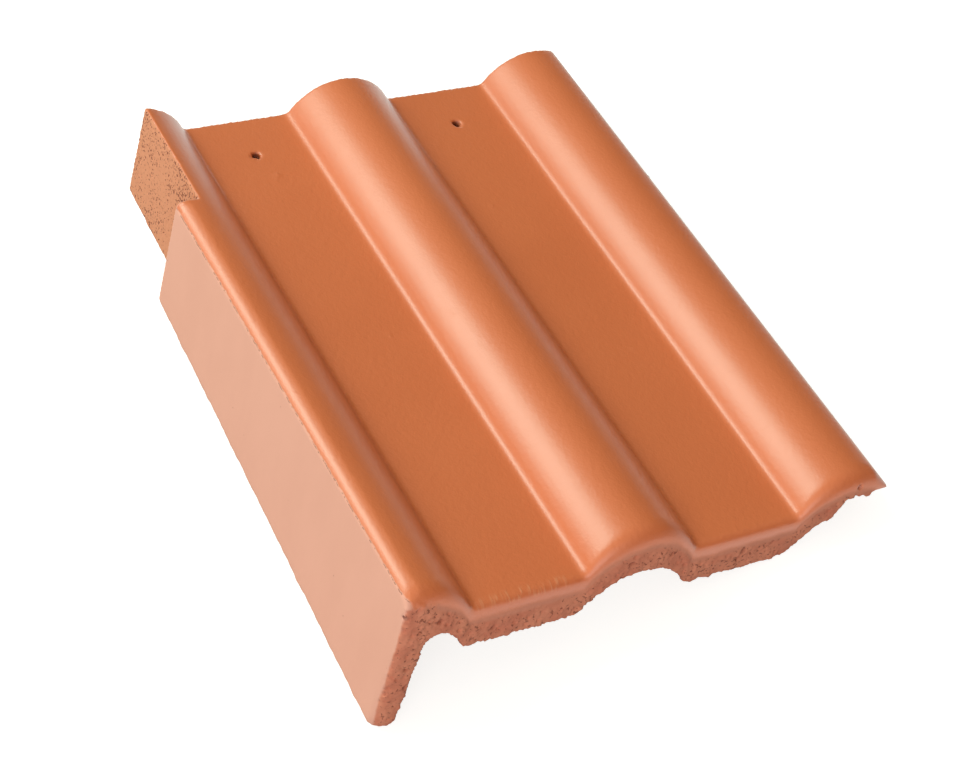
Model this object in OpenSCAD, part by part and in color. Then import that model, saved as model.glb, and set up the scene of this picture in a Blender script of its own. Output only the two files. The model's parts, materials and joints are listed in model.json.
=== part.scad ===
// Left-hand verge tile of a two-roll interlocking concrete roof tile.
// It is modelled flat first: X runs across from the verge flap, Y runs from the
// eaves edge to the head, and Z is square to the flat valleys, whose top is Z = 0.
// The finished tile is then tipped to the way it lies unheld on a level floor.

/* [Deck] */
// Length from the eaves edge to the head
tile_l = 420; // [380:1:460]
// Width that one tile covers on the roof, two rolls wide
cover_w = 300; // [280:1:320]
// Width of a roll between its two valleys
roll_w = 75; // [66:1:80]
// Height of a roll above the valleys
roll_h = 24; // [20:1:27]
// Thickness of the concrete deck
deck_t = 12; // [10:0.5:14]
// Radius of the hollow where a valley meets a roll
foot_r = 5; // [3:0.5:7]
// Rounding of the eaves edge over the valleys
nose_r = 5; // [3:0.5:6]
// Rounding of the eaves edge over the crest of a roll
nose_crest_r = 12; // [8:0.5:12]

/* [Verge flap] */
// Thickness of the hanging flap at the crest of the verge roll
flap_t = 17; // [14:0.5:19]
// How much thinner the flap is at its lower edge
flap_taper = 3; // [0:0.5:5]
// How far the flap's outer face leans outward over its depth
flap_lean = 2.5; // [0:0.5:4]
// Depth of the flap below the valleys, at the eaves edge
flap_front_h = 92; // [80:1:100]
// Depth of the flap below the valleys, where it stops short of the head
flap_head_h = 62; // [50:1:70]
// Length of the flap
flap_l = 330; // [290:1:350]
// Radius of the hollow between the flap's inner face and the deck
inner_r = 8; // [5:0.5:9]
// Rounding of the flap's lower front corner
flap_corner_r = 9; // [6:1:14]
// Rounding along the flap's lower edges
flap_edge_r = 5; // [2:0.5:6]
// Rounding of the flap's upright front edge, at its top
flap_front_r = 2; // [1:0.5:4]
// Rounding of the flap's upright front edge, at its bottom
flap_tip_r = 8; // [3:0.5:9]
// Rounding where the deck turns down into the flap
verge_r = 6; // [3:0.5:6.5]
// Distance from the top of the flap's outer face to the crest of the verge roll
verge_crest_x = 7; // [7:0.5:10]

/* [Head recess] */
// How far the wall at the head is set in, so that the next flap laps outside it
recess_in = 15; // [13.5:0.5:17]
// How far the set-in wall leans outward over its height
recess_lean = 3.5; // [0:0.5:5]
// Thickness of the set-in wall
recess_t = 13; // [10:0.5:16]
// Depth of the set-in wall below the valleys, at the head
recess_head_h = 46; // [40:1:52]
// Depth of the set-in wall below the valleys, where it meets the flap
recess_flap_h = 51; // [44:1:58]
// Length over which the set-in wall is bedded against the flap
recess_root = 24; // [12:1:40]

/* [Side lap] */
// Distance from the crest of the last roll to the tile's free edge
lap_w = 25; // [18:0.5:28]
// Slope of the lap's end, from the level of the valleys
lap_slope = 48; // [42:1:56]
// Rounding of the shoulder above that slope
lap_r = 8; // [4:0.5:10]
// Thickness of the lip under that slope
lap_lip = 1.5; // [1:0.5:3]
// Height of the lap's underside above the valleys
lap_z = 8.5; // [6:0.5:10]
// Width of the drip rib under the lap
drip_w = 7; // [5:0.5:9]
// Depth of the drip rib under the lap
drip_h = 3; // [2:0.5:4]

/* [Underside] */
// Depth of the eaves foot below the top of the deck
eaves_h = 30; // [27:1:34]
// Length of the eaves foot
eaves_l = 16; // [14:1:24]
// How far the eaves face leans forward at the flap, running out at the lap
eaves_lean = 3; // [0:0.5:4]
// Radius of the hollow where the eaves foot meets the flap
eaves_r = 10; // [6:0.5:12]
// Distance from the end of the eaves foot to the crest of the last roll
eaves_back = 11; // [6:1:16]
// Depth of a weather bar below the top of the deck
bar_h = 25; // [18:1:28]
// Length of a weather bar
bar_l = 9; // [6:1:12]
// Distance from one weather bar to the next
bar_gap = 26; // [20:1:34]
// Number of weather bars behind the eaves foot
bar_count = 2; // [1:1:3]
// Width of a hanging nib at its root
nib_w = 46; // [36:1:56]
// Length of a hanging nib
nib_l = 18; // [14:1:22]
// Distance from the head to the nibs' bearing faces
nib_back = 25; // [22:1:30]
// Taper of each side of a nib
nib_taper = 4; // [0:0.5:6]

/* [Fixing] */
// Diameter of the nail holes
nail_d = 5.5; // [4:0.5:7]
// Distance from the head to the nail holes
nail_back = 35; // [32:1:45]

/* [Hidden] */
concrete = [0.78, 0.44, 0.28];
arc_n = 22;
corner_n = 6;
over = 4;
graze = 0.05;

// Rolls and valleys share two families of circles: the rolls' and the hollows' at their feet.
roll_pitch = cover_w / 2;
roll_x = [for (i = [0:2]) verge_crest_x + i * roll_pitch];
valley_x = [for (i = [0:1]) roll_x[i] + roll_pitch / 2];
roll_r = (roll_w * roll_w / 4 + roll_h * roll_h) / (2 * roll_h);
roll_cz = roll_h - roll_r;
foot_dx = sqrt(pow(roll_r + foot_r, 2) - pow(foot_r - roll_cz, 2));
foot_a = asin(foot_dx / (roll_r + foot_r));
under_r = roll_r - deck_t;
under_foot_r = foot_r + deck_t;

// The lap's shoulder touches the last roll's circle on one side and the sloping end on the other.
edge_x = roll_x[2] + lap_w;
lap_tip = [edge_x, lap_z + lap_lip];
lap_reach = lap_w * sin(lap_slope) + (lap_tip[1] - roll_cz) * cos(lap_slope);
lap_a = lap_slope - acos((lap_reach - lap_r) / (roll_r - lap_r));
lap_cx = roll_x[2] + (roll_r - lap_r) * sin(lap_a);
lap_cz = roll_cz + (roll_r - lap_r) * cos(lap_a);
lap_under_a = -acos((lap_z - roll_cz) / under_r);

// Both faces of the flap lean, the inner one more.
flap_span = roll_h + flap_front_h;
side_a = atan(flap_lean / flap_span);
inner_lean_a = atan((flap_lean + flap_taper) / flap_span);
function flap_side(z) = (z - roll_h) * tan(side_a);
function flap_inner(z) = flap_t + (z - roll_h) * tan(inner_lean_a);
verge_cx = verge_r * (1 - sin(side_a)) / cos(side_a);

// The flap's inner face runs into the underside of the verge roll through a hollow.
inner_way = inner_r + (flap_t - roll_x[0]) * cos(inner_lean_a) - roll_r * sin(inner_lean_a);
inner_a = inner_lean_a + asin(inner_way / (under_r - inner_r));
inner_cx = roll_x[0] + (under_r - inner_r) * sin(inner_a);
inner_cz = roll_cz + (under_r - inner_r) * cos(inner_a);

// The set-in wall leans outward from the top of the verge roll down to its lower edge.
function recess_x(z) = recess_in - recess_lean * (roll_h - z) / (roll_h + recess_flap_h);

// The flap's lower edge drops toward the eaves, where the front corner's circle cuts it off.
flap_drop = atan((flap_front_h - flap_head_h) / flap_l);
flap_deep = -flap_front_h - over;
flap_low_l = -flap_lean;
flap_low_r = flap_low_l + flap_t - flap_taper;
corner_y = flap_corner_r - eaves_lean;
corner_d = flap_corner_r * cos(flap_drop) - corner_y * sin(flap_drop);
corner_w = sqrt(pow(flap_corner_r, 2) - pow(corner_d, 2));
corner_way = corner_y * cos(flap_drop) + flap_corner_r * sin(flap_drop) - corner_w;
flap_low_z = -flap_front_h + corner_way * sin(flap_drop);

// The flap's lower edges are eased with two bevels each, which touch one circle.
flap_ease = flap_edge_r * tan(15);
flap_flat = flap_edge_r - flap_ease;

// The tile lies on the inner edge of the flap, on the eaves foot where that bends up under
// the last roll, and on one nib. A line from the flap touches the bend's circle.
rest_foot = [roll_x[2] - foot_dx, foot_r - eaves_h];
rest_flap = [flap_low_r - flap_flat, flap_low_z];
rest_span = rest_foot - rest_flap;
rest_tilt = atan2(rest_span[1], rest_span[0]) - asin(foot_r / norm(rest_span));

// Where the tipped tile's lowest and outermost points lie
function tipped_x(p) = p[0] * cos(rest_tilt) + p[1] * sin(rest_tilt);
function tipped_z(p) = -p[0] * sin(rest_tilt) + p[1] * cos(rest_tilt);
rest_left = tipped_x([flap_low_l, flap_low_z + flap_flat]);
rest_right = tipped_x(lap_tip);
rest_floor = tipped_z(rest_flap);

// The nibs reach down to the floor that the tipped tile lies on.
nib_x = valley_x[1] + nib_w / 2 - nib_taper;
nib_y = tile_l - nib_back;
nib_z = rest_flap[1] + (nib_x - rest_flap[0]) * tan(rest_tilt);

// Points on a circle, with angles measured clockwise from straight up.
// An end that touches its neighbour is left out with skip or short.
function arc(cx, cz, r, a0, a1, n, skip = 0, short = 0) =
    [for (i = [skip:n - short]) let(a = a0 + (a1 - a0) * i / n) [cx + r * sin(a), cz + r * cos(a)]];

// Hollows at the right foot and the left foot of a roll
function right_foot(x, r) = arc(x + foot_dx, foot_r, r, 180 + foot_a, 180, corner_n, skip = 1);
function left_foot(x, r) = arc(x - foot_dx, foot_r, r, 180, 180 - foot_a, corner_n, short = 1);

function flip(p) = [for (i = [len(p) - 1:-1:0]) p[i]];
function lowered(p, h) = [for (q = p) [q[0], q[1] - h]];

// One skin of the deck, from an angle on the verge roll to an angle on the last roll
function skin(roll, foot, a0, a1) = concat(
    arc(roll_x[0], roll_cz, roll, a0, foot_a, arc_n / 2),
    right_foot(roll_x[0], foot),
    left_foot(roll_x[1], foot),
    arc(roll_x[1], roll_cz, roll, -foot_a, foot_a, arc_n),
    right_foot(roll_x[1], foot),
    left_foot(roll_x[2], foot),
    arc(roll_x[2], roll_cz, roll, -foot_a, a1, arc_n));

verge_bead = arc(verge_cx, roll_h - verge_r, verge_r, side_a - 90, 0, corner_n);
lap_shoulder = arc(lap_cx, lap_cz, lap_r, lap_a, lap_slope, corner_n, skip = 1);
deck_top = concat(verge_bead, skin(roll_r, foot_r, 0, lap_a), lap_shoulder, [lap_tip]);

// The lap's underside, with its drip rib
drip_x = roll_x[2] + lap_w / 2 - 2;
lap_under = [
    [edge_x, lap_z],
    [drip_x + drip_w / 2, lap_z],
    [drip_x + drip_w / 2 - 1, lap_z - drip_h],
    [drip_x - drip_w / 2 + 1, lap_z - drip_h],
    [drip_x - drip_w / 2, lap_z]];

inner_hollow = arc(inner_cx, inner_cz, inner_r, inner_a, inner_lean_a - 90, corner_n, skip = 1);
deck_under = concat(lap_under, flip(skin(under_r, under_foot_r, inner_a, lap_under_a)), inner_hollow);
flap_end = [
    [flap_inner(-eaves_h), -eaves_h],
    [flap_inner(flap_deep), flap_deep],
    [flap_side(flap_deep), flap_deep]];
deck_section = concat(deck_top, deck_under, flap_end);

// The deck from a place beside the flap to the foot of the last roll, which the ribs below follow
function roll_angle(i, x) = asin((x - roll_x[i]) / roll_r);
function rib_line(x) = concat(
    arc(roll_x[0], roll_cz, roll_r, roll_angle(0, x), foot_a, arc_n / 2),
    right_foot(roll_x[0], foot_r),
    left_foot(roll_x[1], foot_r),
    arc(roll_x[1], roll_cz, roll_r, -foot_a, foot_a, arc_n),
    right_foot(roll_x[1], foot_r));

// The eaves foot climbs under the last roll at one end and runs into the flap at the other.
hollow_z = roll_cz + roll_r * cos(roll_angle(0, flap_inner(-eaves_h) + eaves_r)) - eaves_h - eaves_r;
hollow_x = flap_inner(hollow_z) + eaves_r / cos(inner_lean_a);
eaves_hollow = arc(hollow_x, hollow_z, eaves_r, 0, inner_lean_a - 90, corner_n, skip = 1);
eaves_climb = concat(
    left_foot(roll_x[2], foot_r),
    arc(roll_x[2], roll_cz, roll_r, -foot_a, roll_angle(2, roll_x[2] - eaves_back), arc_n / 2));
eaves_line = lowered(concat(rib_line(hollow_x), eaves_climb), eaves_h);
eaves_under = concat(lap_under, [[roll_x[2] - eaves_back / 2, lap_z]], flip(eaves_line), eaves_hollow, flap_end);

// Eaves nose: the rounding grows with the height of the deck under it
function nose_at(p) = let(r = nose_r + (nose_crest_r - nose_r) * p[1] / roll_h)
    p[0] > roll_x[2] ? min(r, 0.8 * (p[1] - lap_z)) : r;

// Eaves face: it leans forward below the nose, all the way at the flap and not at all at the lap
eaves_deep = eaves_h + over;
function lean_at(x) = eaves_lean * min(1, (edge_x - x) / (edge_x - flap_t));

// Extrusion of a section across the tile, from one distance up the tile to another
module along(y0, y1) {
    translate([0, y1, 0])
        rotate([90, 0, 0])
            linear_extrude(y1 - y0)
                children();
}

// Extrusion of a side view across the width, from one place to another
module across(x0, x1) {
    translate([x0, 0, 0])
        rotate([90, 0, 90])
            linear_extrude(x1 - x0)
                children();
}

// A body whose section changes from ring to ring, all with as many points, from its first ring
// to its last. The first point of a ring sees all the others.
module loft(rings) {
    k = len(rings[0]);
    last = (len(rings) - 1) * k;
    sides = [
        for (j = [0:len(rings) - 2])
            for (i = [0:k - 1])
                let(a = j * k + i, b = j * k + (i + 1) % k)
                    each [[a, a + k, b + k], [a, b + k, b]]];
    first_end = [for (i = [0:k - 1]) i];
    last_end = concat([last], [for (i = [1:k - 1]) last + k - i]);
    polyhedron([for (ring = rings) each ring], concat(sides, [first_end, last_end]));
}

// What lies before the eaves face and above its rounded nose, as one strip across the tile
module before_eaves() {
    front = -2 * over;
    top = roll_h + over;
    low = flap_deep - over;
    columns = concat(
        [[front, deck_top[0]]],
        [for (p = deck_top) [p[0], p]],
        [[edge_x + over, lap_tip]]);
    loft([
        for (c = columns)
            let(r = nose_at(c[1]), z = c[1][1], lean = lean_at(c[1][0]))
                concat(
                    [[c[0], front, top], [c[0], front, low], [c[0], -lean, low], [c[0], -lean, z - eaves_deep]],
                    [for (p = arc(r, z - r, r, -90, 0, corner_n)) [c[0], p[0], p[1]]],
                    [[c[0], r, top]])]);
}

// Eaves end: rounded over the top, with the deep foot under it
module eaves_end() {
    difference() {
        along(-over, eaves_l)
            polygon(concat(deck_top, eaves_under));
        before_eaves();
    }
}

// What the flap's rounded front corner leaves out
module flap_corner_cut() {
    low = flap_deep - over;
    centre_z = flap_corner_r - flap_front_h;
    across(-2 * over, flap_t + over)
        polygon(concat(
            [[corner_y, low], [-2 * over, low], [-2 * over, centre_z]],
            arc(corner_y, centre_z, flap_corner_r, 270, 180, arc_n / 2)));
}

// Everything below the flap's sloping lower edge
module below_flap() {
    margin = 2 * over;
    side = [
        [flap_flat, 0],
        [flap_ease, flap_ease],
        [-margin, flap_ease + (flap_ease + margin) * tan(60)],
        [-margin, -flap_front_h]];
    translate([0, 0, -flap_front_h])
        rotate([flap_drop, 0, 0])
            along(-flap_corner_r, flap_l + flap_corner_r)
                polygon(concat(
                    [for (p = side) [flap_low_l + p[0], p[1]]],
                    [for (p = flip(side)) [flap_low_r - p[0], p[1]]]));
}

// Set-in wall at the head: it goes on a little way behind the flap
module recess_wall() {
    top = deck_t / 2;
    low = -recess_flap_h;
    along(flap_l - recess_root, tile_l)
        polygon([
            [recess_x(top) - over / 2, top],
            [recess_x(top) + recess_t, top],
            [recess_x(low) + recess_t, low],
            [recess_x(low) - over / 2, low]]);
}

// What the head recess leaves out beside the set-in wall: the place for the next flap
module beside_recess() {
    top = roll_h + over;
    low = flap_deep - over;
    along(flap_l, tile_l + over)
        polygon([[-2 * over, top], [recess_x(top), top], [recess_x(low), low], [-2 * over, low]]);
}

// What the head recess leaves out below the set-in wall
module below_recess() {
    low = flap_deep - over;
    slope = (recess_flap_h - recess_head_h) / (tile_l - flap_l);
    across(-2 * over, recess_in + recess_t + over)
        polygon([
            [flap_l, -recess_flap_h],
            [tile_l + over, over * slope - recess_head_h],
            [tile_l + over, low],
            [flap_l, low]]);
}

// Weather bar under the deck
module weather_bar(y) {
    line = concat(rib_line(flap_inner(-bar_h) - over / 2), [[roll_x[2] - foot_dx, 0]]);
    along(y, y + bar_l)
        polygon(concat(
            lowered(line, deck_t / 2),
            [[roll_x[2] - lap_w / 2, lap_z + 2]],
            flip(lowered(line, bar_h))));
}

// Hanging nib under the middle of a valley
module nib(x) {
    along(nib_y, nib_y + nib_l)
        polygon([
            [x - nib_w / 2, -deck_t / 2],
            [x + nib_w / 2, -deck_t / 2],
            [x + nib_w / 2 - nib_taper, nib_z],
            [x - nib_w / 2 + nib_taper, nib_z]]);
}

module nail_hole(x) {
    translate([x, tile_l - nail_back, -deck_t - over])
        cylinder(d = nail_d, h = deck_t + 2 * over, $fn = 32);
}

// Rounding of the flap's upright front edge, as the sliver that it takes away. The edge leans with
// the flap and the eaves face, and the rounding grows down to the tip.
module flap_front_cut() {
    top = deck_top[0][1];
    edge = [
        [flap_deep - over, -eaves_lean],
        [top - eaves_deep, -eaves_lean],
        [top - nose_at(deck_top[0]), 0],
        [roll_h + over, 0]];
    loft([
        for (e = edge)
            let(
                z = e[0],
                r = flap_front_r + (flap_tip_r - flap_front_r) * (roll_h - z) / flap_span,
                x = flap_side(z) - graze,
                y = e[1] - graze)
                concat(
                    [[x - over, y - over, z], [x + r, y - over, z]],
                    [for (p = arc(x + r, y + r, r, 180, 270, corner_n)) [p[0], p[1], z]],
                    [[x - over, y + r, z]])]);
}

module tile_flat() {
    difference() {
        union() {
            difference() {
                union() {
                    eaves_end();
                    along(eaves_l, tile_l)
                        polygon(deck_section);
                }
                below_flap();
                flap_corner_cut();
                flap_front_cut();
            }
            recess_wall();
            for (i = [1:bar_count])
                weather_bar(eaves_l + i * bar_gap - bar_l);
            for (x = valley_x)
                nib(x);
        }
        beside_recess();
        below_recess();
        for (x = valley_x)
            nail_hole(x);
    }
}

// The tile as it lies on a level floor
module verge_tile() {
    color(concrete)
        translate([-(rest_left + rest_right) / 2, (eaves_lean - tile_l) / 2, -rest_floor])
            rotate([0, rest_tilt, 0])
                tile_flat();
}

verge_tile();
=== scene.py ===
# %% [markdown]
# # A coated concrete verge tile
# A verge tile closes the side of a roof. It is pressed from wet concrete in one piece, coated
# on its weather side while it cures, and left bare wherever the coating roller can't reach.
# The frame holds the tile at its real size, and this lesson dresses it: first the camera,
# then the relief of the concrete, then the finishes, and last the light.

# %% Load the pressed tile
import json
import math

import bpy
import numpy as np
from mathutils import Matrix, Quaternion, Vector


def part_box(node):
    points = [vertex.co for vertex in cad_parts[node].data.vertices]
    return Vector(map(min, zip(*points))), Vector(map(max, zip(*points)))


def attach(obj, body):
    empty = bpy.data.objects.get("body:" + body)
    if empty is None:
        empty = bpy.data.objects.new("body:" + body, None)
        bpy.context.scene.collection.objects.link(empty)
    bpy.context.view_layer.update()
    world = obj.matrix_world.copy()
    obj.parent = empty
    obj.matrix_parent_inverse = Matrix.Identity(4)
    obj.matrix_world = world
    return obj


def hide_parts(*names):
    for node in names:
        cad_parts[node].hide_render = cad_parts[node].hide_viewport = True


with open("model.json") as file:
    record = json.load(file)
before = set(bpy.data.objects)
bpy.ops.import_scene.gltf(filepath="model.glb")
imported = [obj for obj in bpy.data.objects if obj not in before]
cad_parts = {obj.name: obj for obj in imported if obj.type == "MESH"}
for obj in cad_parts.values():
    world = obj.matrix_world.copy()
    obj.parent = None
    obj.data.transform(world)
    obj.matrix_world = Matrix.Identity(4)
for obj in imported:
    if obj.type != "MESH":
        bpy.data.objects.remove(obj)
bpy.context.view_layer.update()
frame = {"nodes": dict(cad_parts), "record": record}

pressed_tile = frame["nodes"]["verge_tile"]

# %% [markdown]
# ## The tile's own directions
# The tile lies tipped, on the edge of its flap and on its underside, so its valleys aren't
# level. The record tells how far: the nail holes run square through the valleys. Three lengths
# measured from them describe every place on the tile, and they are easier to read than X, Y
# and Z: across from the middle roll, along from the eaves, and above the valleys.

# %% Measure across, along and above
MM = 0.001
eaves_lean = 3.0

mounts = {mount["name"]: mount for mount in frame["record"]["mounts"]}
nail_middle = np.array(mounts["nail_holes"]["pos_m"])
above_axis = np.array(mounts["nail_holes"]["axis"])
tilt = math.atan2(above_axis[0], above_axis[2])
across_axis = np.array((math.cos(tilt), 0.0, -math.sin(tilt)))
eaves_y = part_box("verge_tile")[0].y + eaves_lean * MM
roll_pitch = mounts["nail_holes"]["dims"]["pcd_mm"]


def tile_places(mesh):
    """Across, along and above of every corner of a mesh, in millimetres."""
    flat = np.empty(len(mesh.vertices) * 3)
    mesh.vertices.foreach_get("co", flat)
    points = flat.reshape(-1, 3)
    across = (points - nail_middle) @ across_axis / MM
    along = (points[:, 1] - eaves_y) / MM
    above = (points - nail_middle) @ above_axis / MM
    return across, along, above


print("tipped by", round(math.degrees(tilt), 2), "degrees, rolls", roll_pitch, "mm apart")

# %% [markdown]
# ## The camera
# The tile is seen from above its front left corner, through a long lens that keeps the rolls
# almost parallel. A camera can be turned by angles, but a point to aim at is easier to check,
# and one small roll about the line of sight sets the horizon.

# %% Aim the camera
camera_at = Vector((-0.42367, -0.8206, 1.12372))
camera_aim = Vector((-0.03029, -0.06749, 0.080))
camera_roll = math.radians(0.7235)
lens_mm = 84.39
sensor_mm = 36.0

bpy.ops.object.select_all(action="DESELECT")
bpy.ops.object.camera_add(location=camera_at)
camera = bpy.context.active_object
camera.name = "camera"
camera.data.lens = lens_mm
camera.data.sensor_width = sensor_mm
sight = (camera_aim - camera_at).to_track_quat("-Z", "Y")
camera.rotation_euler = (sight @ Quaternion((0, 0, 1), camera_roll)).to_euler()
bpy.context.scene.camera = camera
print("camera is", round((camera_aim - camera_at).length, 3), "m from the tile")

# %% [markdown]
# ## One skin to work on
# Wet concrete never keeps a knife edge: every corner of a pressed tile is a little soft. The
# frame's mesh has exact edges and long thin triangles, so it can't carry small relief. A copy
# of it is merged, turned into an even skin by a voxel remesh and relaxed. That softens all
# edges at once, as the press does, and gives about each square millimetre a corner to move.

# %% Skin the tile
merge_mm = 0.01
grain_mm = 1.1
smooth_step = 0.5
relax_turns = 6

bpy.ops.object.select_all(action="DESELECT")
tile = bpy.data.objects.new("coated_tile", pressed_tile.data.copy())
bpy.context.scene.collection.objects.link(tile)
tile.data.materials.clear()
tile.select_set(True)
bpy.context.view_layer.objects.active = tile
bpy.ops.object.mode_set(mode="EDIT")
bpy.ops.mesh.select_all(action="SELECT")
bpy.ops.mesh.remove_doubles(threshold=merge_mm * MM)
bpy.ops.object.mode_set(mode="OBJECT")


def finish_with(kind, **settings):
    """Adds a modifier to the tile and applies it."""
    modifier = tile.modifiers.new(kind.title(), kind)
    for name, value in settings.items():
        setattr(modifier, name, value)
    bpy.ops.object.modifier_apply(modifier=modifier.name)


finish_with("REMESH", mode="VOXEL", voxel_size=grain_mm * MM)
finish_with("SMOOTH", factor=smooth_step, iterations=relax_turns)
print("skin:", len(tile.data.polygons), "faces")

# %% [markdown]
# ## The tile's surfaces as formulas
# To tell the torn eaves from the smooth valleys, the script has to know where the surfaces lie.
# The deck's top is a row of arcs that ends in a slope at the side lap, the flap leans outward
# a little, and the set-in wall at the head leans with it. Each is one short formula. All
# lengths are in millimetres, and a lean is a share: so far sideways over so far down.

# %% Describe the surfaces
roll_w = 75.0
roll_h = 24.0
roll_r = (roll_w**2 / 4 + roll_h**2) / (2 * roll_h)
lap_w = 25.0
lap_x = roll_pitch + lap_w
lap_z = 10.0
lap_rise = math.tan(math.radians(48.0))
verge_w = 7.0
flap_x = -roll_pitch - verge_w
flap_t = 17.0
flap_l = 330.0
flap_front_h = 92.0
flap_slope = 30.0 / flap_l
flap_lean = 2.5 / 116.0
lean_h = 34.0
tile_l = 420.0
nail_along = (nail_middle[1] - eaves_y) / MM
wall_in = 15.0
wall_lean = 3.5 / 75.0


def ramp(limits, value):
    """0 before the first limit, 1 past the second, and a smooth rise between them."""
    low, high = limits
    share = np.clip((value - low) / (high - low), 0.0, 1.0)
    return share * share * (3.0 - 2.0 * share)


def fade(limits, value):
    """1 before the first limit, 0 past the second, and a smooth fall between them."""
    return 1.0 - ramp(limits, value)


def deck_top(across):
    """Height of the deck's top above the valleys."""
    beside = across - roll_pitch * np.clip(np.round(across / roll_pitch), -1, 1)
    inside = np.maximum(roll_r**2 - beside**2, 0.0)
    rolls = np.maximum(roll_h - roll_r + np.sqrt(inside), 0.0)
    lap = lap_z + lap_rise * (lap_x - across)
    return np.where(across > roll_pitch, np.minimum(np.maximum(rolls, lap_z), lap), rolls)


def in_from_flap(across, above):
    """Distance inward from the flap's leaning outer face."""
    return across - flap_x + flap_lean * (roll_h - above)


def in_from_wall(across, above):
    """Distance inward from the set-in wall at the head."""
    return across - flap_x - wall_in + wall_lean * (roll_h - above)


print("rolls bend with a radius of", round(roll_r, 1), "mm")

# %% [markdown]
# ## Where the concrete is rough
# The eaves face was torn when the wet strip was cut into tiles, and so was the flap's front.
# The set-in wall at the head is full of pores, the flap's lower edge is a little chipped, and
# so are the rims of the nail holes. Each place gets a vertex group: a weight between 0 and 1
# at every corner, so that the relief fades out instead of stopping at a line. Each pair below
# says where such a fade starts and where it ends.

# %% Weigh the rough places
flap_inside = (flap_t, flap_t + 4.0)
deck_tear_behind = (4.0, 9.0)
deck_tear_below = (9.0, 17.0)
flap_tear_behind = (0.0, 5.0)
flap_tear_below = (5.0, 10.0)
flap_tear_foot = (0.5, 4.0)
wall_skin = (0.6, 1.6)
wall_from = (flap_l, flap_l + 2.0)
chips_up_to = (2.0, 6.0)
head_skin = (tile_l - 1.5, tile_l - 0.5)
top_skin = (0.8, 1.6)
top_from = (6.0, 12.0)
rim_outward = 1.2
rim_forward = 1.4
rim_reach = (2.5, 4.5)
rim_skin = (1.0, 2.5)


def rough_places(mesh):
    """Weights of the rough places at every corner."""
    across, along, above = tile_places(mesh)
    below_top = deck_top(across) - above
    off_top = np.abs(below_top)
    on_flap = fade(flap_inside, in_from_flap(across, above))
    above_foot = above - (flap_slope * along - flap_front_h)
    behind_front = along + eaves_lean * np.clip(below_top / lean_h, 0.0, 1.0)
    torn_deck = fade(deck_tear_behind, along) * ramp(deck_tear_below, below_top)
    torn_flap = fade(flap_tear_behind, behind_front) * ramp(flap_tear_below, below_top)
    torn_flap = torn_flap * ramp(flap_tear_foot, above_foot)
    off_wall = np.abs(in_from_wall(across, above))
    cut_head = ramp(head_skin, along)
    off_hole = np.hypot(
        np.abs(across) - roll_pitch / 2 - rim_outward,
        along - nail_along + rim_forward,
    )
    return {
        "torn": torn_deck * (1.0 - on_flap) + torn_flap * on_flap,
        "porous": fade(wall_skin, off_wall) * ramp(wall_from, along),
        "chipped": fade(chips_up_to, above_foot) * on_flap * (along < flap_l),
        "cut_head": cut_head,
        "top": fade(top_skin, off_top) * ramp(top_from, along) * (1.0 - cut_head),
        "nail_rim": fade(rim_reach, off_hole) * fade(rim_skin, off_top),
    }


def weigh(name, weights, steps=20):
    """Makes a vertex group from one weight for each corner."""
    group = tile.vertex_groups.new(name=name)
    levels = np.round(weights * steps).astype(int)
    for level in range(1, steps + 1):
        members = np.flatnonzero(levels == level)
        group.add(members.tolist(), level / steps, "REPLACE")
    print(name, "covers", int((levels > 0).sum()), "corners")


for place, weights in rough_places(tile.data).items():
    weigh(place, weights)

# %% [markdown]
# ## The verge's flat bead
# Where the top meets the flap, the press leaves a narrow flat band instead of a round corner,
# with a crisp edge toward the flap and a soft one toward the roll. Smooth flattens whatever
# its vertex group covers, so a group that ends abruptly on one side and slowly on the other
# gives both edges at once.

# %% Flatten the bead
bead_low = 19.0
bead_edge = (bead_low, bead_low + 0.5)
bead_inside = (6.0, 9.0)
bead_from = (1.0, 6.0)
bead_to = (flap_l - 6.0, flap_l - 2.0)
bead_turns = 120

across, along, above = tile_places(tile.data)
bead = ramp(bead_edge, above) * fade(bead_inside, in_from_flap(across, above))
bead = bead * ramp(bead_from, along) * fade(bead_to, along)
weigh("bead", bead)
finish_with("SMOOTH", factor=smooth_step, iterations=bead_turns, vertex_group="bead")

# %% [markdown]
# ## The worn tip
# The flap's front lower corner is the first thing that touches the ground when a tile is set
# down, so it is the roundest corner. The same modifier wears it down.

# %% Wear the tip
tip_behind = (3.0, 14.0)
tip_up_to = (2.0, 12.0)
tip_turns = 60

worn = fade(tip_behind, along) * fade(tip_up_to, above + flap_front_h)
weigh("tip", worn)
finish_with("SMOOTH", factor=smooth_step, iterations=tip_turns, vertex_group="tip")

# %% [markdown]
# ## Torn, porous and chipped
# Displace moves each corner along its normal by a texture. One scale of noise looks like
# melted wax, so the torn face takes three: lumps as large as the gravel, crumbs, and a
# Voronoi pattern whose cell centres become pits. The pores of the wall are pits and sand, and
# the same pattern turned over, with few small spots, is the grit caught under the coating.

# %% Roughen the concrete
def noise(name, size_mm, depth=3, hard=False):
    """A cloud texture with lumps of about this size."""
    texture = bpy.data.textures.new(name, "CLOUDS")
    texture.noise_scale = size_mm * MM
    texture.noise_depth = depth
    texture.noise_type = "HARD_NOISE" if hard else "SOFT_NOISE"
    return texture


def spots(name, size_mm, share, middle=0.0, flat_part=0.4):
    """Spots at the centres of Voronoi cells, filling a share of each cell."""
    texture = bpy.data.textures.new(name, "VORONOI")
    texture.noise_scale = size_mm * MM
    texture.use_color_ramp = True
    ramp_points = texture.color_ramp.elements
    ramp_points[0].color = (middle, middle, middle, 1)
    ramp_points[0].position = share * flat_part
    ramp_points[1].color = (1 - middle, 1 - middle, 1 - middle, 1)
    ramp_points[1].position = share
    return texture


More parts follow.
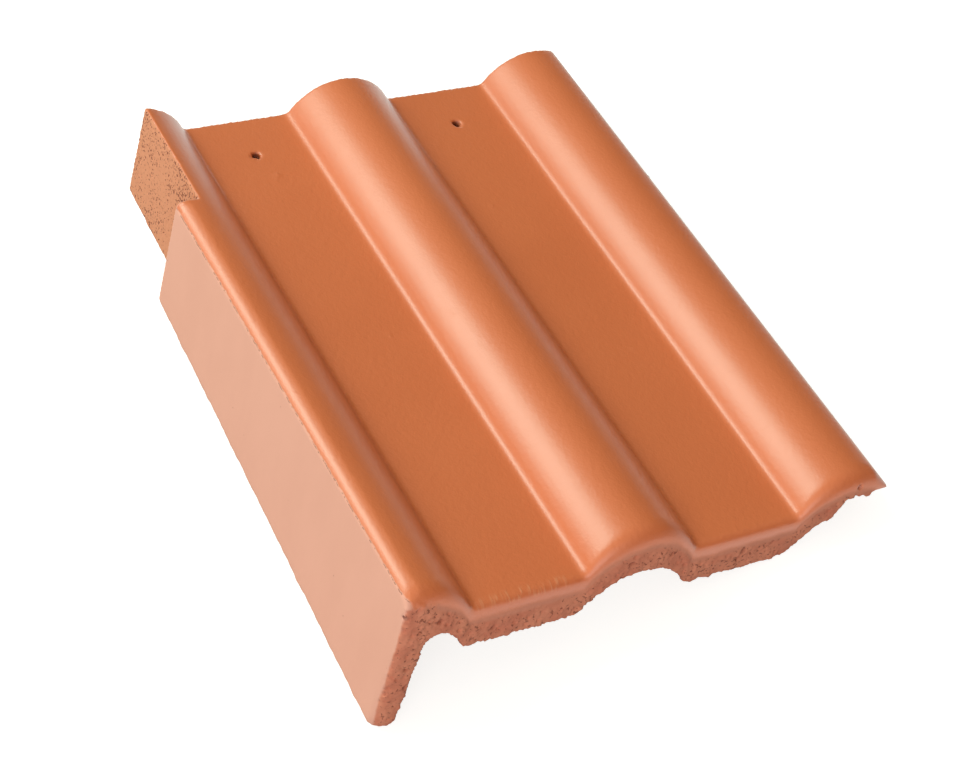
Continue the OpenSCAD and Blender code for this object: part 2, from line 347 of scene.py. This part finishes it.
def roughen(place, texture, height_mm, level):
    """Moves the corners of one place by a texture, whose level stays where it is."""
    finish_with(
        "DISPLACE",
        texture=texture,
        texture_coords="LOCAL",
        vertex_group=place,
        strength=height_mm * MM,
        mid_level=level,
    )


roughen("torn", noise("torn_lumps", 10.0), height_mm=2.8, level=0.25)
roughen("torn", noise("torn_crumbs", 3.2, hard=True), height_mm=1.8, level=0.3)
roughen("torn", spots("torn_pits", 5.5, share=0.3), height_mm=1.3, level=1.0)
roughen("porous", spots("wall_pores", 3.2, share=0.28), height_mm=1.0, level=1.0)
roughen("porous", noise("wall_sand", 2.5, depth=2), height_mm=0.5, level=0.5)
roughen("chipped", noise("flap_chips", 9.0), height_mm=1.6, level=0.8)
roughen("cut_head", noise("head_sand", 5.0, depth=2), height_mm=0.7, level=0.5)
roughen("nail_rim", noise("rim_chips", 2.6, depth=2), height_mm=2.6, level=0.7)
roughen("top", spots("coat_grit", 34.0, share=0.04, middle=1.0), height_mm=0.4, level=0.0)
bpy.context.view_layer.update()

# %% [markdown]
# ## Blowholes
# Air caught in the mix leaves a few larger holes on the torn face, and one crack runs down it
# below the second valley. They are where they are, so they are listed one by one: across,
# above, half the width and half the height. A Displace without a texture pushes them straight
# back into the face.

# %% Push the holes in
hole_depth = 3.0
hole_slope = 1.4
holes_behind = 6.0
holes = [
    (-155.5, 8.4, 1.8, 1.6),
    (-148.1, -35.4, 1.8, 1.7),
    (-146.1, -52.5, 1.7, 1.9),
    (-133.4, -0.8, 2.0, 2.2),
    (-95.9, -20.3, 2.2, 1.6),
    (-41.2, -23.4, 1.8, 1.8),
    (-9.2, 3.9, 2.2, 1.6),
    (19.3, 2.1, 2.0, 1.6),
    (75.2, -15.0, 1.6, 3.6),
    (73.2, -20.0, 1.7, 3.6),
    (97.0, -14.6, 1.6, 1.6),
    (151.7, 15.6, 1.8, 1.7),
]


def sunk_places(mesh):
    """1 in the middle of a blowhole and 0 outside, at every corner."""
    across, along, above = tile_places(mesh)
    sunk = np.zeros(len(across))
    for hole_across, hole_above, half_w, half_h in holes:
        away = ((across - hole_across) / half_w) ** 2 + ((above - hole_above) / half_h) ** 2
        sunk = np.maximum(sunk, np.clip(hole_slope * (1.0 - away), 0.0, 1.0))
    return sunk * (along < holes_behind)


weigh("blowholes", sunk_places(tile.data))
finish_with(
    "DISPLACE",
    vertex_group="blowholes",
    direction="Y",
    strength=hole_depth * MM,
    mid_level=0.0,
)

# %% [markdown]
# ## Fewer faces where it is plain
# The even skin spends as many faces on a flat valley as on the torn edge. Decimate collapses
# the edges that change the shape least, so the flat parts give up theirs first. Before that,
# any crumb that the relief pushed below the table is set on it.

# %% Thin the skin
triangle_limit = 190000

points = np.empty(len(tile.data.vertices) * 3)
tile.data.vertices.foreach_get("co", points)
points[2::3] = np.maximum(points[2::3], 0.0)
tile.data.vertices.foreach_set("co", points)
triangles = sum(len(face.vertices) - 2 for face in tile.data.polygons)
kept_share = min(1.0, triangle_limit / triangles)
finish_with("DECIMATE", ratio=kept_share, use_collapse_triangulate=True)
bpy.ops.object.shade_smooth()
print("thinned from", triangles, "to", len(tile.data.polygons), "triangles")

# %% [markdown]
# ## Where the coating ends
# The coating covers the top, rolls over the eaves edge and thins out a few millimetres below
# it. On the verge it stops at the bead's lower edge, and it never reaches the set-in wall at
# the head. The distance to that edge is stored on the mesh as an attribute, so the material
# can draw the edge with noise, finer than the mesh itself. More attributes tell where that
# edge is soft, where it is sharp, where the comb is, and where the pores and the holes are,
# which the material darkens with painted shadow.

# %% Store the finish's places
coat_drop = 9.5
verge_edge = bead_low + 0.6
verge_skin = 3.0
verge_gain = 3.0
head_bare = 0.8
wall_bare = 0.6
flap_end = flap_l - 0.6
no_edge = 100.0
edge_limit = 20.0
eaves_behind = (8.0, 16.0)
eaves_inside = (1.5, 4.0)
crowded_from = (-45.0, 18.0)
verge_inside = (2.0, 4.0)
comb_from = (-118.0, -105.0)
comb_to = (-58.0, -42.0)
comb_behind = (5.0, 8.0)
comb_below = (2.0, 4.5)
nail_wall = (3.2, 3.8)
nail_below = (0.6, 2.0)


def store(name, values):
    """Keeps one number for each corner, for the material to read."""
    attribute = tile.data.attributes.new(name, "FLOAT", "POINT")
    attribute.data.foreach_set("value", np.asarray(values, np.float32))


tile.vertex_groups.clear()
across, along, above = tile_places(tile.data)
below_top = deck_top(across) - above
inward = in_from_flap(across, above)
over_eaves = coat_drop - below_top
over_verge = above - verge_edge + verge_gain * np.maximum(inward - verge_skin, 0.0)
short_of_head = tile_l - head_bare - along
behind_wall = in_from_wall(across, above) - wall_bare
beside_recess = np.where(along > flap_end, behind_wall, no_edge)
coat_edge = np.minimum.reduce([over_eaves, over_verge, short_of_head, beside_recess])
store("coat_edge", np.clip(coat_edge, -edge_limit, edge_limit))
store("eaves", fade(eaves_behind, along) * ramp(eaves_inside, inward))
store("crowded", ramp(crowded_from, above))
store("verge", fade(verge_inside, inward) * (along < flap_end))
combed = ramp(comb_from, across) * fade(comb_to, across)
store("combed", combed * fade(comb_behind, along) * fade(comb_below, below_top))
off_nail = np.hypot(np.abs(across) - roll_pitch / 2, along - nail_along)
in_nail_hole = fade(nail_wall, off_nail) * ramp(nail_below, below_top)
# The sunk places also carry painted shadow: the material darkens the blowholes and nail holes.
store("sunk", np.maximum(sunk_places(tile.data), in_nail_hole))
rough = rough_places(tile.data)
store("torn", rough["torn"])
store("porous", rough["porous"])
print("coated corners:", int((coat_edge > 0).sum()), "of", len(coat_edge))

# %% [markdown]
# ## Shader sums in Python
# A material is a sum over masks and noises. Written as nodes by hand it becomes a web, so a
# small class wraps one socket: a sum of two wires adds a Math node, and one method adds
# any other node. Screen colours aren't linear and shaders are, so a helper converts them.

# %% Wrap a socket
class Wire:
    """A socket of a node tree that can be added, subtracted and multiplied."""

    def __init__(self, tree, socket=None):
        self.tree = tree
        self.socket = socket

    def node(self, kind, settings=None, inputs=None, output=0):
        """Adds a node: first its settings, then the values or wires of its sockets."""
        made = self.tree.nodes.new("ShaderNode" + kind)
        for name, value in (settings or {}).items():
            setattr(made, name, value)
        for name, value in (inputs or {}).items():
            if isinstance(value, Wire):
                self.tree.links.new(value.socket, made.inputs[name])
            else:
                made.inputs[name].default_value = value
        return Wire(self.tree, made.outputs[output])

    def sum_with(self, operation, first, second):
        """Adds a Math node that joins two numbers or wires."""
        return self.node("Math", {"operation": operation}, {0: first, 1: second})

    def __add__(self, other):
        return self.sum_with("ADD", self, other)

    __radd__ = __add__

    def __sub__(self, other):
        return self.sum_with("SUBTRACT", self, other)

    def __rsub__(self, other):
        return self.sum_with("SUBTRACT", other, self)

    def __mul__(self, other):
        return self.sum_with("MULTIPLY", self, other)

    __rmul__ = __mul__

    def rise(self, low, high):
        """0 below low, 1 above high, smooth between."""
        settings = {"interpolation_type": "SMOOTHSTEP"}
        return self.node("MapRange", settings, {"Value": self, "From Min": low, "From Max": high})

    def blend(self, first, second, most=1.0):
        """The first colour where this wire is 0, and most of the second where it is 1."""
        share = self if most == 1.0 else self * most
        return self.node("Mix", {"data_type": "RGBA"}, {0: share, 6: first, 7: second}, 2)


def srgb(red, green, blue):
    """A screen colour, as the linear colour that a shader takes."""
    def linear(part):
        part = part / 255
        return part / 12.92 if part <= 0.04045 else ((part + 0.055) / 1.055) ** 2.4

    return (linear(red), linear(green), linear(blue), 1.0)


print("a screen grey of 128 is", round(srgb(128, 128, 128)[0], 3), "to a shader")

# %% [markdown]
# ## Masks and grains
# Every finish below is drawn by the same few patterns, so they are made first: noise stretched
# along the tile's own directions, and round pores in some cells of a Voronoi pattern. They use
# the tile's own coordinates, so the pattern stays on the tile when it is moved.

# %% Make the patterns
finish = bpy.data.materials.new("coated_concrete")
finish.use_nodes = True
tree = finish.node_tree
shader = tree.nodes["Principled BSDF"]
start = Wire(tree)
own_place = start.node("TexCoord", output="Object")
turned = start.node("Mapping", inputs={"Vector": own_place, "Rotation": (0.0, -tilt, 0.0)})


def attribute(name):
    """Reads a number that was stored on the mesh."""
    return start.node("Attribute", {"attribute_name": name}, output="Fac")


def speckle(per_metre, detail=2.0, stretch=(1, 1, 1)):
    """Noise with this many lumps in a metre, stretched along the tile's own directions."""
    stretched = start.node("Mapping", inputs={"Vector": turned, "Scale": stretch})
    inputs = {"Vector": stretched, "Scale": per_metre, "Detail": detail, "Roughness": 0.55}
    return start.node("TexNoise", inputs=inputs)


def pores(per_metre, radius, crowd, flat_part=0.6):
    """1 inside round pores, which are the more frequent the higher the crowd is."""
    inputs = {"Vector": turned, "Scale": per_metre}
    middle = start.node("TexVoronoi", inputs=inputs, output="Distance")
    draw = start.node("TexVoronoi", inputs=inputs, output="Color")
    inside = 1 - middle.rise(radius * flat_part, radius)
    return inside * (draw + crowd).rise(0.98, 1.02)


edge = attribute("coat_edge")
eaves = attribute("eaves")
torn = attribute("torn")
porous = attribute("porous")
cloud = speckle(9.0, 3.0)
mottle = speckle(60.0, 3.0)
sand = speckle(900.0, 2.0)
streak = speckle(700.0, 2.0, (1.0, 0.06, 1.0))
print("patterns:", len(tree.nodes), "nodes")

# %% [markdown]
# ## The coating
# The coating is a satin paint that was rolled on. At the eaves it thins out softly over a few
# millimetres, and its last part shows the comb of the roller. On the verge it ends sharply, in
# a fine broken line of shadow. The edge's distance, in millimetres, wanders a little by noise,
# and a rise through zero turns it into the coating's mask.

# %% Paint the coating
fine_wander = 1.4
eaves_wander = 7.0
sharp_edge = 0.3
soft_edge = 2.2
coat_shades = (srgb(214, 110, 59), srgb(218, 114, 63))
comb_shade = srgb(232, 160, 118)

wander = (speckle(260.0, 3.0) - 0.5) * fine_wander
wander = wander + (speckle(40.0, 2.0) - 0.5) * eaves * eaves_wander
ragged = edge + wander
softness = sharp_edge + soft_edge * eaves
coated = ragged.rise(softness * -1.0, softness)
comb = speckle(650.0, 2.0, (1.0, 0.15, 0.15)).rise(0.48, 0.64) * attribute("combed")
gap_line = attribute("verge") * ragged.rise(-0.9, -0.5) * (1 - ragged.rise(-0.5, -0.1))
gap_line = gap_line * speckle(330.0).rise(0.45, 0.58)
coat_colour = cloud.rise(0.3, 0.7).blend(*coat_shades)
coat_colour = comb.blend(coat_colour, comb_shade, most=0.35)
print("coat ends", coat_drop, "mm below the eaves edge")

# %% [markdown]
# ## The bare concrete
# Bare concrete takes its colour from the pigment in the mix, and its surface from how it was
# made: smooth and pinkish against the press mould, redder and full of pores where it was torn,
# sandy on the set-in wall. The pores are darkened with painted shadow. Each kind is a blend of
# its own, and the masks lay one over the other, with the coating above them and the painted
# shadow of the holes on top.

# %% Mix the concretes
# The pore colours are painted shadow, for the shade inside the pores.
smooth_shades = (srgb(226, 163, 141), srgb(229, 166, 144))
eaves_shade = srgb(207, 128, 99)
painted_flap_pore_shadow = srgb(150, 88, 66)
wall_shade = srgb(214, 140, 104)
painted_wall_pore_shadow = srgb(106, 34, 14)
torn_shades = (srgb(205, 122, 94), srgb(216, 136, 106))
painted_torn_pore_shadow = srgb(118, 56, 36)
gap_shade = srgb(120, 62, 40)
# Painted shadow for the blowholes and the nail holes.
painted_hole_shadow = srgb(100, 44, 26)

drawn = speckle(30.0, 4.0, (1.0, 1.0, 0.4))
flap_pores = pores(160.0, radius=0.09, crowd=0.12)
crowd = (speckle(38.0) - 0.5) * 0.35 + attribute("crowded") * 0.06
wall_pores = (speckle(560.0, 2.0) + crowd).rise(0.63, 0.66)
torn_pores = (speckle(430.0, 3.0) + (mottle - 0.5) * 0.25).rise(0.6, 0.67)
bare_colour = drawn.rise(0.3, 0.7).blend(*smooth_shades)
bare_colour = eaves.blend(bare_colour, eaves_shade, most=0.8)
# Painted shadow: the pores darken the colour on the flap, the set-in wall and the torn face.
bare_colour = flap_pores.blend(bare_colour, painted_flap_pore_shadow, most=0.5)
wall_colour = wall_pores.blend(wall_shade, painted_wall_pore_shadow, most=0.8)
torn_colour = mottle.rise(0.35, 0.65).blend(*torn_shades)
torn_colour = torn_pores.blend(torn_colour, painted_torn_pore_shadow, most=0.7)
torn_here = (torn + (mottle - 0.5) * 0.9).rise(0.2, 0.7)
concrete = porous.blend(bare_colour, wall_colour)
concrete = torn_here.blend(concrete, torn_colour)
concrete = gap_line.blend(concrete, gap_shade, most=0.7)
colour = coated.blend(concrete, coat_colour)
# Painted shadow: the blowholes and the nail holes are darkened in the colour.
colour = attribute("sunk").blend(colour, painted_hole_shadow, most=0.7)
tree.links.new(colour.socket, shader.inputs["Base Color"])
print("colours:", len(tree.nodes), "nodes")

# %% [markdown]
# ## Sheen and grain
# The coating is satin and the concrete is matt, so the roughness follows the coating's mask. A
# clear coat over the base gives the sheen, and its weight is the mask itself. Grains finer than
# the mesh are left to a Bump node, whose heights are shares of its distance.

# %% Set the sheen and the grain
coat_rough = 0.46
bare_rough = 0.88
streak_rough = 0.08
clear_rough = 0.38
bump_height = 0.0006

coat_gloss = coat_rough + streak_rough * (streak - 0.5)
roughness = coated * (coat_gloss - bare_rough) + bare_rough
tree.links.new(roughness.socket, shader.inputs["Roughness"])
tree.links.new(coated.socket, shader.inputs["Coat Weight"])
shader.inputs["Coat Roughness"].default_value = clear_rough

dents = 0.5 * porous * wall_pores + torn_here * torn_pores
bare_grain = 0.12 * sand + 0.1 * mottle - 0.3 * dents
coat_grain = 0.3 + 0.02 * streak + 0.6 * speckle(330.0, 3.0) + 0.1 * sand + 0.15 * comb
height = coated * coat_grain + (1 - coated) * bare_grain
bump_inputs = {"Height": height, "Strength": 1.0, "Distance": bump_height}
bump = start.node("Bump", inputs=bump_inputs)
tree.links.new(bump.socket, shader.inputs["Normal"])

tile.data.materials.append(finish)
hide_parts("verge_tile")
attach(tile, "root")
print("finish:", len(tree.nodes), "nodes")

# %% [markdown]
# ## A white table
# The tile lies on white in soft light. The floor takes its shadow, and a glow that only the
# camera and reflections see lifts it to white without lighting the tile.

# %% Lay the floor
floor_m = 120.0
unseen_grey = (0.3, 0.3, 0.3, 1.0)
seen_grey = (0.56, 0.56, 0.56, 1.0)
glow_white = (0.77, 0.765, 0.75, 1.0)

bpy.ops.object.select_all(action="DESELECT")
bpy.ops.mesh.primitive_plane_add(size=floor_m)
floor = bpy.context.active_object
floor.name = "floor"
white = bpy.data.materials.new("white_floor")
white.use_nodes = True
floor_tree = white.node_tree
floor_tree.nodes.remove(floor_tree.nodes["Principled BSDF"])
table = Wire(floor_tree)
seen = table.node("LightPath", output="Is Camera Ray")
mirrored = table.node("LightPath", output="Is Glossy Ray")
through = table.node("LightPath", output="Is Transmission Ray")
shown = table.sum_with("MAXIMUM", table.sum_with("MAXIMUM", seen, mirrored), through)
lit = table.node("BsdfDiffuse", inputs={"Color": unseen_grey})
shade = table.node("BsdfDiffuse", inputs={"Color": seen_grey})
glow = table.node("Emission", inputs={"Color": glow_white, "Strength": 1.0})
pale = table.node("AddShader", inputs={0: shade, 1: glow})
mixed = table.node("MixShader", inputs={0: shown, 1: lit, 2: pale})
surface = floor_tree.nodes["Material Output"].inputs["Surface"]
floor_tree.links.new(mixed.socket, surface)
floor.data.materials.append(white)
print("floor:", len(floor_tree.nodes), "nodes")

# %% [markdown]
# ## Soft light from behind
# The bright band on the left of each roll and the dim eaves face tell where the light stood:
# behind the tile, to its left and high. A round area light there is the key, with a slight
# green tint that keeps the band from turning pink on the orange coat, and a wide dim one in
# front lifts the eaves face. A sky fills the rest: pale on the left, dimmer on top, and dark
# and warm on the right, so that the rolls keep a deep colour on their far sides.

# %% Light it softly
tile_middle = Vector((0.0, 0.0, 0.08))
sky_top = (0.44, 0.42, 0.36, 1.0)
sky_left = (0.74, 0.71, 0.7, 1.0)
sky_right = (0.06, 0.025, 0.015, 1.0)


def soft_light(name, direction, distance, size, watts, tint):
    """A round area light that looks at the tile."""
    away = Vector(direction).normalized()
    bpy.ops.object.light_add(type="AREA", location=tile_middle + away * distance)
    light = bpy.context.active_object
    light.name = name
    light.data.shape = "DISK"
    light.data.size = size
    light.data.energy = watts
    light.data.color = tint
    light.rotation_euler = away.to_track_quat("Z", "Y").to_euler()
    print(name, watts, "W at", [round(value, 2) for value in light.location])


soft_light(
    "soft_key",
    direction=(-0.42, 0.47, 0.78),
    distance=2.0,
    size=1.4,
    watts=32.0,
    tint=(0.82, 1.0, 0.88),
)
soft_light(
    "front_fill",
    direction=(-0.5, -0.85, 0.45),
    distance=1.8,
    size=1.6,
    watts=11.0,
    tint=(1.0, 1.0, 1.0),
)

sky = bpy.data.worlds.new("soft_sky")
bpy.context.scene.world = sky
sky.use_nodes = True
sky_tree = sky.node_tree
air = Wire(sky_tree)
direction = air.node("TexCoord", output="Generated")
rightward = air.node("SeparateXYZ", inputs={"Vector": direction}, output="X").rise(-0.3, 0.7)
upward = air.node("SeparateXYZ", inputs={"Vector": direction}, output="Z").rise(0.3, 0.9)
sky_colour = upward.blend(rightward.blend(sky_left, sky_right), sky_top)
sky_tree.links.new(sky_colour.socket, sky_tree.nodes["Background"].inputs["Color"])
bpy.context.scene.view_settings.view_transform = "Standard"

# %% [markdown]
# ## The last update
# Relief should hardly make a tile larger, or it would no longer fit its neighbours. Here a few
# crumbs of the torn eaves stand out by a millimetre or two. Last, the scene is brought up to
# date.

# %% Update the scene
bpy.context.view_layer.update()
